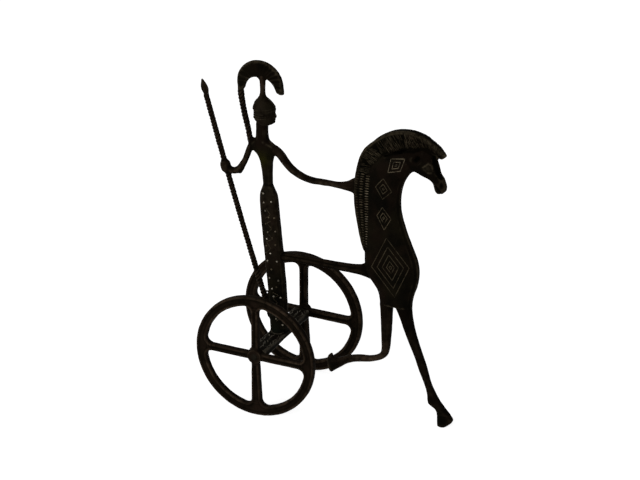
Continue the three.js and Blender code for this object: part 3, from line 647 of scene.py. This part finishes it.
def helmet_and_face(points, facing):
    x, y, z = points[:, 0] - HEAD_X, points[:, 1], points[:, 2] - HEAD_FOOT
    side = np.abs(y)
    front, back = step_up(facing[:, 0], 0.05, 0.45), step_up(-facing[:, 0], -0.7, -0.1)
    off_eye, over_eye = side - 3.3, z - 11.1
    face = front * (
        -0.7 * mound(off_eye / 2.0, (z - 11.2) / 1.5) + 0.75 * mound(off_eye / 1.35, over_eye / 0.8)
        + 0.22 * mound((np.hypot(off_eye / 1.7, over_eye / 1.1) - 1) / 0.25)
        + 0.5 * mound((z - 13.1) / 0.6, (side - 3.2) / 2.6) + 0.7 * mound(y / 0.9, (z - 10.2) / 2.2)
        + 0.5 * mound((side - 1.3) / 0.7, (z - 8.2) / 0.7) + 0.45 * mound((z - 6.1) / 0.42, y / 2.1)
        - 0.5 * mound((z - 5.5) / 0.26, y / 2.4) + 0.4 * mound((z - 4.9) / 0.42, y / 1.8)
        + 0.5 * mound((z - 3.1) / 1.0, y / 2.0) + 0.3 * mound((side - 4.4) / 1.8, (z - 8) / 2.0))
    brow = z - 0.14 * (x - 2)
    bands = 0.22 * (mound((brow - 13.6) / 0.5) + mound((brow - 16) / 0.5)) - 0.15 * mound((brow - 14.8) / 0.6)
    nape = back * 0.5 * sum(mound((z - 0.12 * x - height) / 0.45) for height in (7.0, 9.3, 11.6))
    cheek_edge = x - 4.2 - 0.12 * (z - 5)
    cheek_guard = 0.4 * mound(cheek_edge / 0.45) * step_up(-np.abs(z - 8.5), -5, -4) * (1 - front)
    ridge = 0.5 * mound(y / 0.7) * step_up(z, 17, 19)
    return face + bands + nape + cheek_guard + ridge


HEAD_NODES = ["helmeted_head", "torso", "crest_stem"]
HEAD_VOXEL = 0.32
head = fused("head_with_neck", HEAD_NODES, HEAD_VOXEL, fillet=1.6, fillers=[stem_foot])
head_owner, head_face_owner = owners(head, HEAD_NODES)
marks = np.where(head_owner == "helmeted_head", helmet_and_face(head.points, head.normals()), 0)
head = head.raised(marks + HEAD_GROWTH + 0.04 * uneven(head.points, 7, 3))

# %% [markdown]
# ## Wheels and rivets
# A wheel is one flat casting. A raised border runs round each of its four openings and round the rim,
# with a shallow channel between, and two thin collars bind each spoke near the rim. How far a point is
# from the wheel's edges gives the border its even width, also through the fillets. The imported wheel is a
# polygon of many sides, so its rim is eased to a true circle first. The far wheel is a little fuller, and
# both hubs stay clear of the board so that they can turn. A rivet is turned: a shank, a washer and a
# small dome.

# %% Relief of a wheel
WHEEL_SIDES = 48
WHEEL_VOXEL = 0.5
WHEEL_GROWTH = 0.05
FULLER = {"near_wheel": 0.22, "far_wheel": 0.5}


def edge_distances(skin, node):
    """How far points are from the nearest upright edge of a flat wheel, looking along its axle."""
    walls = bmesh.new()
    walls.from_mesh(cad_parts[node].data)
    flat = [face for face in walls.faces if abs(face.normal.y) > 0.4]
    bmesh.ops.delete(walls, geom=flat, context="FACES")
    tree = BVHTree.FromBMesh(walls)
    walls.free()
    middle = (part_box(node)[0].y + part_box(node)[1].y) / 2
    return np.array([tree.find_nearest(Vector((x * MM, middle, z * MM)))[3] / MM for x, _, z in skin.points])


def cast_wheel(node):
    skin = fused(node, [node], WHEEL_VOXEL)
    x, z = skin.points[:, 0] - AXLE_X, skin.points[:, 2] - AXLE_Z
    out, angle = np.hypot(x, z), np.arctan2(z, x)
    from_flat = (angle * WHEEL_SIDES / (2 * math.pi) + 0.5) % 1 - 0.5
    ease = 1 + (np.cos(from_flat * 2 * math.pi / WHEEL_SIDES) - 1) * step_up(out, 50, 58)
    points = skin.points.copy()
    points[:, 0], points[:, 2] = AXLE_X + x * ease, AXLE_Z + z * ease
    skin = Skin(points, skin.faces)
    edge = edge_distances(skin, node)
    face = step_up(np.abs(skin.normals()[:, 1]), 0.55, 0.85)
    channel = step_up(edge, 1.7, 2.6) * step_up(out, 8.0, 10.5)
    border = mound((edge - 1.1) / 0.7) * step_up(out, 8.0, 10.5)
    off_spoke = np.minimum(np.abs(x), np.abs(z))
    collars = (mound((out - 45.3) / 0.5) + mound((out - 47.4) / 0.5)) * step_up(-off_spoke, -4.2, -3.4)
    hub = mound((out - 6.2) / 0.6) - 0.6 * mound((out - 4.6) / 0.5)
    heights = face * (0.15 * border - 0.85 * channel + 0.75 * collars + 0.25 * hub)
    heights += 0.06 * uneven(points, 8, 5) + 0.08 * uneven(points, 22, 6) * step_up(-out, -58.5, -54)
    heights = skin.evened(heights, 1) + WHEEL_GROWTH + FULLER[node] * (1 - face) * step_up(out, 5, 8)
    skin = skin.raised(heights)
    inner = min((corner.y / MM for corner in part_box(node)), key=abs)
    near_axle = out < 14
    way = math.copysign(1, inner)
    skin.points[near_axle, 1] = way * np.maximum(way * skin.points[near_axle, 1], abs(inner) - PAST_CAD)
    return skin


wheels = {node: cast_wheel(node) for node in ("near_wheel", "far_wheel")}


# %% Turned rivets
def turned_rivet(outer, inner):
    """A rivet along the axle, from its outer end to its inner end."""
    way = 1 if inner > outer else -1
    profile = [(0.02, 0.3), (0.1, 1.1), (0.35, 2.0), (0.7, 2.7), (1.0, 3.15), (1.25, 3.2), (1.4, 2.2),
               (4.0, 2.15), (9.0, 2.15), (abs(inner - outer) - 0.2, 2.1)]
    path = [(AXLE_X, outer + way * along, AXLE_Z) for along, _ in profile]
    return rod(path, [wide for _, wide in profile], sides=28)


rivets = {}
for node in ("near_axle_rivet", "far_axle_rivet"):
    ends = sorted((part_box(node)[0].y / MM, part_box(node)[1].y / MM), key=abs)
    rivets[node] = turned_rivet(ends[1], ends[0])
print("rivets:", {node: len(points) for node, (points, _) in rivets.items()})

# %% [markdown]
# ## Shader sums
# A bronze finish is a stack of simple masks: clouds of patina, bright ridges with painted highlight, dull
# hollows with painted shade, green salts.
# The two small classes below let such a stack be written as sums, with the nodes made behind the scenes.

# %% Sums on sockets
class Wire:
    """An output of a shader node that can be added, multiplied and so on."""

    def __init__(self, bench, socket):
        self.bench, self.socket = bench, socket

    def __add__(self, other):
        return self.bench.maths("ADD", self, other)

    def __sub__(self, other):
        return self.bench.maths("SUBTRACT", self, other)

    def __rsub__(self, other):
        return self.bench.maths("SUBTRACT", other, self)

    def __mul__(self, other):
        return self.bench.maths("MULTIPLY", self, other)

    __radd__, __rmul__ = __add__, __mul__


class Bench:
    """The node tree of one material or of the world."""

    def __init__(self, owner):
        owner.use_nodes = True
        self.tree = owner.node_tree
        self.tree.nodes.clear()

    def node(self, kind, settings=None, inputs=None):
        """A node of that kind: its settings first, then values or wires for its sockets."""
        made = self.tree.nodes.new(kind)
        for name, value in (settings or {}).items():
            setattr(made, name, value)
        for name, value in (inputs or {}).items():
            if isinstance(value, Wire):
                self.tree.links.new(value.socket, made.inputs[name])
            else:
                made.inputs[name].default_value = value
        return made

    def wire(self, made, output=0):
        return Wire(self, made.outputs[output])

    def maths(self, operation, *values, clamp=False):
        settings = {"operation": operation, "use_clamp": clamp}
        return self.wire(self.node("ShaderNodeMath", settings, dict(enumerate(values))))

    def noise(self, place, scale, detail=3.0, roughness=0.55):
        sockets = {"Vector": place, "Scale": scale, "Detail": detail, "Roughness": roughness}
        return self.wire(self.node("ShaderNodeTexNoise", None, sockets))

    def between(self, value, start, end):
        """0 below start and 1 above end."""
        settings = {"interpolation_type": "SMOOTHSTEP"}
        sockets = {"Value": value, "From Min": start, "From Max": end}
        return self.wire(self.node("ShaderNodeMapRange", settings, sockets))

    def mix(self, share, first, second):
        """A colour between two colours."""
        made = self.node("ShaderNodeMix", {"data_type": "RGBA"}, {0: share, 6: first, 7: second})
        return self.wire(made, 2)

    def background_share(self):
        """1 for rays that should meet the white background: from the camera, off gloss and through glass."""
        rays = self.node("ShaderNodeLightPath")
        camera, gloss, glass = (
            self.wire(rays, kind) for kind in ("Is Camera Ray", "Is Glossy Ray", "Is Transmission Ray"))
        return self.maths("ADD", camera, self.maths("ADD", gloss, glass, clamp=True), clamp=True)


def paint(*screen):
    """A colour as a painter reads it off a screen, 0 to 255, turned to the linear values that shaders use."""
    return tuple((v / 255 / 12.92) if v <= 10 else ((v / 255 + 0.055) / 1.055) ** 2.4 for v in screen) + (1,)


# %% [markdown]
# ## The patina
# The bronze was darkened with liver of sulphur and waxed. It is a near-black warm brown with browner
# clouds; ridges that hands and cloths have rubbed show more of the metal, and the same rubbed colour is
# painted on as highlight on the horse's cheekbone and nose line and on the corners of twisted wire. Raised
# work that has been polished is a pale grey-brown, with a painted glint on it. Hollows stay almost black
# with patina, and so do the places given painted shade; green salts sit at the robe's foot, on the board
# and on the hooves, more olive up on the chest. The masks for ridges and highlight, hollows and shade, and
# salts are values kept at each point of the mesh, worked out from the shape and from painted marks; the
# clouds, grain and pits are noise. So little light is mirrored by old wax that the specular level is low.

# %% One finish, in three tempers
def bronze(name, ground, cloud, rubbed_and_highlight_colour, rub_and_highlight_share, salt_share, dullness):
    """A patinated bronze; the slots differ in how brown, how rubbed and how green they are."""
    material = bpy.data.materials.new(name)
    bench = Bench(material)
    place = bench.wire(bench.node("ShaderNodeTexCoord"), "Object")
    masks = {mask: bench.wire(bench.node("ShaderNodeAttribute", {"attribute_name": mask}), "Fac")
             for mask in ("rub_and_highlight", "hollow_and_shade", "salts")}
    tint = bench.between(bench.noise(place, 24, 2), 0.42, 0.58)
    clouds = bench.noise(place, 55, 4)
    blotches = bench.noise(place, 210, 3)
    grain = bench.noise(place, 1500, 2)
    pits = bench.between(bench.noise(place, 640, 1), 0.62, 0.74)
    # Rubbed colour for wear, and for painted highlight where the rub mask carries it.
    wear_and_highlight = masks["rub_and_highlight"] * bench.between(blotches, 0.25, 0.6) * rub_and_highlight_share
    salts = bench.maths("MULTIPLY", masks["salts"] + bench.between(blotches, 0.6, 0.8) * salt_share,
                        bench.between(grain + clouds, 0.75, 1.15), clamp=True)
    colour = bench.mix(bench.between(clouds, 0.35, 0.65), ground, bench.mix(tint, cloud, paint(17, 11, 7)))
    colour = bench.mix(bench.between(grain, 0.5, 0.8) * 0.2, colour, paint(38, 32, 25))
    # Near-black patina in hollows, and painted shade where the mask carries it.
    colour = bench.mix(masks["hollow_and_shade"] * 0.85, colour, paint(1, 1, 0))
    colour = bench.mix(wear_and_highlight, colour, rubbed_and_highlight_colour)
    over_ground = bench.wire(bench.node("ShaderNodeSeparateXYZ", None, {"Vector": place}), "Z")
    high_up = bench.between(over_ground, 0.12, 0.2)
    colour = bench.mix(salts * 0.8, colour, bench.mix(high_up, paint(13, 20, 15), paint(48, 47, 10)))
    # Painted glint: raised work rubbed beyond 1 goes pale grey-brown, polish with a highlight painted on it.
    colour = bench.mix(bench.between(masks["rub_and_highlight"], 1.1, 2.0), colour, paint(124, 118, 106))
    rough = dullness + blotches * 0.16 + grain * 0.1 + salts * 0.3 + masks["hollow_and_shade"] * 0.12 - wear_and_highlight * 0.2
    height = clouds * 0.8 + blotches * 0.5 + grain * 0.35 - pits * 0.5
    relief = {"Strength": 0.35, "Distance": 0.0004, "Height": height}
    bump = bench.wire(bench.node("ShaderNodeBump", None, relief))
    shader = bench.node("ShaderNodeBsdfPrincipled", None, {
        "Base Color": colour, "Metallic": wear_and_highlight * 0.4, "Roughness": rough, "Normal": bump,
        "Specular IOR Level": 0.005})
    bench.node("ShaderNodeOutputMaterial", None, {"Surface": bench.wire(shader)})
    return material


FINISHES = {
    name: bronze(name, paint(*ground), paint(*cloud), paint(*rubbed_and_highlight_colour), *shares)
    for name, ground, cloud, rubbed_and_highlight_colour, *shares in (
        ("dark_bronze", (10, 7, 4), (23, 16, 11), (66, 54, 42), 0.7, 0.0, 0.46),
        ("rubbed_bronze", (6, 5, 3), (16, 13, 7), (68, 60, 46), 0.9, 0.03, 0.44),
        ("green_bronze", (10, 9, 6), (21, 19, 14), (72, 66, 56), 0.95, 0.12, 0.48))}
print("finishes:", ", ".join(FINISHES))

# %% [markdown]
# ## Parting the skin into pieces
# Each piece takes its share of the skin, and the cut is closed so that the piece stays a solid. Its
# raised work is laid on it, with a rub of its own: a rub of 1 is fully rubbed, and beyond 1 it is
# polished, with a pale painted glint. Every point of the skin gets its three masks: how far it stands out
# from the evened skin, how deep it lies, and how near it is to a place where salts grow. Undercuts, pits
# and the front of the horse's muzzle are darkened further with painted shade, the mane is darkened most
# over its arch, and the cheekbone and nose line take a painted highlight. The bar, arms, leg, spear and
# crest are made darker and less rubbed, and the horse's head darker.

# %% Masks and pieces
SALT_SPOTS = [
    ((-2, 0, 64), 9, 1.0), ((0, -30, 62), 14, 0.15), ((0, 30, 62), 14, 0.1), ((-2, 0, 78), 12, 0.45),
    ((0, -52, 59), 8, 0.12), ((0, 52, 59), 8, 0.12), ((-15, 0, 234), 6.5, 0.85), ((52, 0, 38), 10, 0.6),
    ((162, 0, 8), 14, 0.3)]
FLAT_ROUNDS = 14


def masks_of(points, skin=None):
    """Rub, hollow and salts from the shape at the points, before painted highlight and shade join them; loose
    raised work without a skin counts as rubbed all over.
    """
    if skin is None:
        rub_and_highlight, hollow_and_shade = np.ones(len(points)), np.zeros(len(points))
    else:
        rise = ((skin.points - skin.evened(skin.points, FLAT_ROUNDS)) * skin.normals()).sum(axis=1)
        rub_and_highlight, hollow_and_shade = np.clip((rise - 0.1) / 0.35, 0, 1), np.clip((-rise - 0.03) / 0.25, 0, 1)
    salts = np.zeros(len(points))
    for (x, y, z), reach, strength in SALT_SPOTS:
        away = np.linalg.norm(points - np.array((AXLE_X + x, y, z)), axis=1)
        salts = np.maximum(salts, strength * mound(away / reach))
    return np.stack([rub_and_highlight, hollow_and_shade, salts])


def piece(name, body, slot, points, faces, masks, replaced):
    """A Blender object from points, faces and masks, riding on its body in place of its CAD node."""
    mesh = bpy.data.meshes.new(name)
    mesh.from_pydata([tuple(p) for p in np.asarray(points) * MM], [], faces)
    for mask, values in zip(("rub_and_highlight", "hollow_and_shade", "salts"), masks):
        mesh.attributes.new(mask, "FLOAT", "POINT").data.foreach_set("value", values.astype(np.float32))
    mesh.shade_smooth()
    made = bpy.data.objects.new(name, mesh)
    bpy.context.scene.collection.objects.link(made)
    mesh.materials.append(FINISHES[slot])
    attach(made, body)
    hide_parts(replaced)
    return made


def with_work(points, faces, masks, work):
    """The same lists with raised work laid on."""
    points, faces, masks = [np.asarray(points)], list(faces), [masks]
    start = len(points[0])
    for (work_points, work_faces), rub_and_highlight in work:
        faces += [tuple(start + i for i in face) for face in work_faces]
        points.append(np.array(work_points))
        masks.append(masks_of(points[-1]))
        masks[-1][0] = rub_and_highlight
        start += len(work_points)
    return np.concatenate(points), faces, np.concatenate(masks, axis=1)


def closed(made):
    """Closes the cuts of a piece, with crisp edges, so that it is a solid."""
    shape = bmesh.new()
    shape.from_mesh(made.data)
    rims = [edge for edge in shape.edges if edge.is_boundary]
    for edge in rims:
        edge.smooth = False
    bmesh.ops.holes_fill(shape, edges=rims, sides=0)
    shape.to_mesh(made.data)
    shape.free()


# %% Slots and raised work of the cast pieces
SLOTS = {node: "rubbed_bronze" for node in (
    "robe", "torso", "crest_plume", "horse_trunk", "horse_head", "horse_mane", "helmeted_head")}
SLOTS["axle_board"] = "green_bronze"
WORK = {node: [] for node in CAST_TOGETHER}
dice = np.random.default_rng(5)
# Rub of the raised work; beyond 1 it also takes the pale painted glint.
for node, work, least, most in (
        ("robe", studs, 0.9, 2.0), ("robe", zigzags, 0.8, 1.0),
        ("axle_board", hatching, 0.6, 1.6), ("axle_board", lips, 0.4, 0.6)):
    WORK[node] += [(made, dice.uniform(least, most)) for made in work if made]
WORK["horse_trunk"] = [(line, rub_and_highlight) for line, rub_and_highlight in lozenge_lines if line]
WORK["horse_mane"] = mane_lines
group_masks = masks_of(group.points, group)
rub_and_highlight, hollow_and_shade, _ = group_masks
# Corners of the twisted wires are lightened as wear and painted highlight, and the grooves between them
# darkened as painted shade.
np.maximum(rub_and_highlight, 0.28 * np.clip(twists, 0, 1), out=rub_and_highlight)
np.maximum(hollow_and_shade, np.clip(-twists, 0, 1), out=hollow_and_shade)

# %% Shade and shine on the group
on_horse = np.isin(owner, ["horse_head", "horse_trunk", "horse_mane"])
# Painted shade in the mane's undercut, the eye pit, the hollow before the cheek, the nostril and the mouth,
# with the rub taken away round them.
shade = np.maximum(undercut(drawn_x, drawn_z), face_hollows(drawn_x, drawn_z)) * on_horse
rub_and_highlight *= 1 - np.clip(4 * group.evened(shade, 20), 0, 1)
# Painted shade on the front of the muzzle, where it faces forwards.
muzzle = (owner == "horse_head") & (drawn_x > 150)
shade = np.maximum(shade, step_up(outward[:, 0], 0.25, 0.6) * muzzle)
# The mane is darkened between its strokes, most over its arch.
shade = np.maximum(shade, (owner == "horse_mane") * (0.3 + 0.55 * step_up(drawn_z, 232, 242)))
# Painted highlight on the cheekbone and the nose line; rub on the crest's raised rays, and a little more rub
# higher up the robe.
painted_highlight_and_wear = 0.6 * np.maximum(cheek_ridge(drawn_x, drawn_z), bridge(drawn_x, drawn_z)) * on_horse
painted_highlight_and_wear = np.maximum(painted_highlight_and_wear, 0.3 * np.clip(plume_streaks(drawn_x, drawn_z), 0, 1) * (owner == "crest_plume"))
painted_highlight_and_wear = np.maximum(painted_highlight_and_wear, 0.1 * step_up(drawn_z, 110, 150) * (owner == "robe"))
np.maximum(rub_and_highlight, painted_highlight_and_wear, out=rub_and_highlight)
# The bar, leg, spear, arms and crest are made darker and less rubbed, and the horse's head darker.
darkest = np.isin(owner, ["draught_bar", "straight_foreleg", "spear_shaft", "spear_head"])
dull = darkest | np.isin(owner, ["front_arm", "rear_arm", "crest_plume", "crest_tail"])
rub_and_highlight *= np.where(dull, 0.5, 1)
shade = np.maximum(shade, 0.45 * (dull | (owner == "horse_head")))
np.maximum(hollow_and_shade, np.maximum(shade, 0.7 * darkest), out=hollow_and_shade)
print("dull points:", np.count_nonzero(dull), "of", len(dull))

# %% Cast pieces
for node in CAST_TOGETHER:
    skin, of_face, masks = group, face_owner, group_masks
    if node == "helmeted_head":
        skin, of_face, masks = head, head_face_owner, masks_of(head.points, head)
        masks[0] = np.maximum(masks[0], 0.1)
    used, faces = np.unique(skin.faces[of_face == node], return_inverse=True)
    parts = with_work(skin.points[used], faces.reshape(-1, 4).tolist(), masks[:, used], WORK[node])
    made = piece("cast_" + node, "figure", SLOTS.get(node, "dark_bronze"), *parts, node)
    closed(made)
    print(f"{made.name:24} {len(made.data.polygons):6} faces")

# %% Wheels and rivets
for node, skin in wheels.items():
    masks = masks_of(skin.points, skin)
    masks[0] = np.maximum(masks[0] * (0.55 + 0.3 * uneven(skin.points, 30, 9)), 0.08)
    made = piece("cast_" + node, node, "dark_bronze", skin.points, skin.faces.tolist(), masks, node)
    print(f"{made.name:24} {len(made.data.polygons):6} faces")
for node, (points, faces) in rivets.items():
    points = np.array(points)
    masks = masks_of(points)
    masks[0] *= 0.1
    made = piece("turned_" + node, "figure", "green_bronze", points, faces, masks, node)
    print(f"{made.name:24} {len(made.data.polygons):6} faces")

# %% [markdown]
# ## Camera, floor and light
# The camera stands far off with a long lens, a little above and to the front of the near side, so wheels
# that are parallel keep nearly the same size. The floor is pale and, where the camera sees it, mostly
# gives its own white, so that the background is white and the shadow under the figurine stays soft. Light
# is plain: a dim even dome, a large low panel in front of the near side and a weaker one overhead. Dark
# metal mirrors the same white background.

# %% Camera
TURN, TILT = math.radians(25.57), math.radians(25.62)
FOCAL_LENGTH, PICTURE_WIDTH = 4348, 640
AIM_HEIGHT, ASIDE, UPWARDS, DISTANCE = 59.5, 37.02, 85.15, 4000
across = Vector((math.cos(TURN), math.sin(TURN), 0))
ahead = Vector((-math.sin(TURN) * math.cos(TILT), math.cos(TURN) * math.cos(TILT), -math.sin(TILT)))
over = across.cross(ahead)
lens = bpy.data.cameras.new("camera")
lens.sensor_width = 36
lens.lens = FOCAL_LENGTH / PICTURE_WIDTH * lens.sensor_width
lens.clip_end = 50
camera = bpy.data.objects.new("camera", lens)
bpy.context.scene.collection.objects.link(camera)
stand = Vector((AXLE_X - SHIFT_X, 0, AIM_HEIGHT)) + across * ASIDE + over * UPWARDS - ahead * DISTANCE
turned = Matrix((across, over, -ahead)).transposed().to_4x4()
camera.matrix_world = Matrix.Translation(stand * MM) @ turned
bpy.context.scene.camera = camera
print("camera at", [round(v, 3) for v in camera.location], "lens", round(lens.lens, 1), "mm")

# %% Floor
floor_mesh = bpy.data.meshes.new("floor")
floor_mesh.from_pydata([(-12, -12, 0), (12, -12, 0), (12, 12, 0), (-12, 12, 0)], [], [(0, 1, 2, 3)])
floor = bpy.data.objects.new("floor", floor_mesh)
bpy.context.scene.collection.objects.link(floor)
pale = bpy.data.materials.new("pale_floor")
bench = Bench(pale)
seen = bench.background_share()
plain = bench.wire(bench.node("ShaderNodeBsdfDiffuse", None, {"Color": (0.5, 0.5, 0.5, 1)}))
glow = bench.wire(bench.node("ShaderNodeEmission", None, {"Color": (1, 1, 1, 1), "Strength": 0.85}))
both = bench.wire(bench.node("ShaderNodeAddShader", None, {0: plain, 1: glow}))
shown = bench.wire(bench.node("ShaderNodeMixShader", None, {0: seen, 1: plain, 2: both}))
bench.node("ShaderNodeOutputMaterial", None, {"Surface": shown})
floor_mesh.materials.append(pale)

# %% World and panels
world = bpy.data.worlds.new("studio")
bpy.context.scene.world = world
bench = Bench(world)
seen = bench.background_share()
dome = bench.node("ShaderNodeBackground", None, {"Color": (1, 1, 1, 1), "Strength": 0.25 + seen * 0.75})
bench.node("ShaderNodeOutputWorld", None, {"Surface": bench.wire(dome)})
PANELS = (("key_panel", (-0.7, -2.3, 0.9), 46), ("top_panel", (-0.6, -0.3, 2.4), 8))
PANEL_SIZE = 1.0
for name, place, watts in PANELS:
    light = bpy.data.lights.new(name, "AREA")
    light.size, light.energy = PANEL_SIZE, watts
    lamp = bpy.data.objects.new(name, light)
    bpy.context.scene.collection.objects.link(lamp)
    aim = Vector((0, 0, 0.15)) - Vector(place)
    lamp.matrix_world = Matrix.Translation(place) @ aim.to_track_quat("-Z", "Y").to_matrix().to_4x4()
bpy.context.scene.view_settings.view_transform = "Standard"
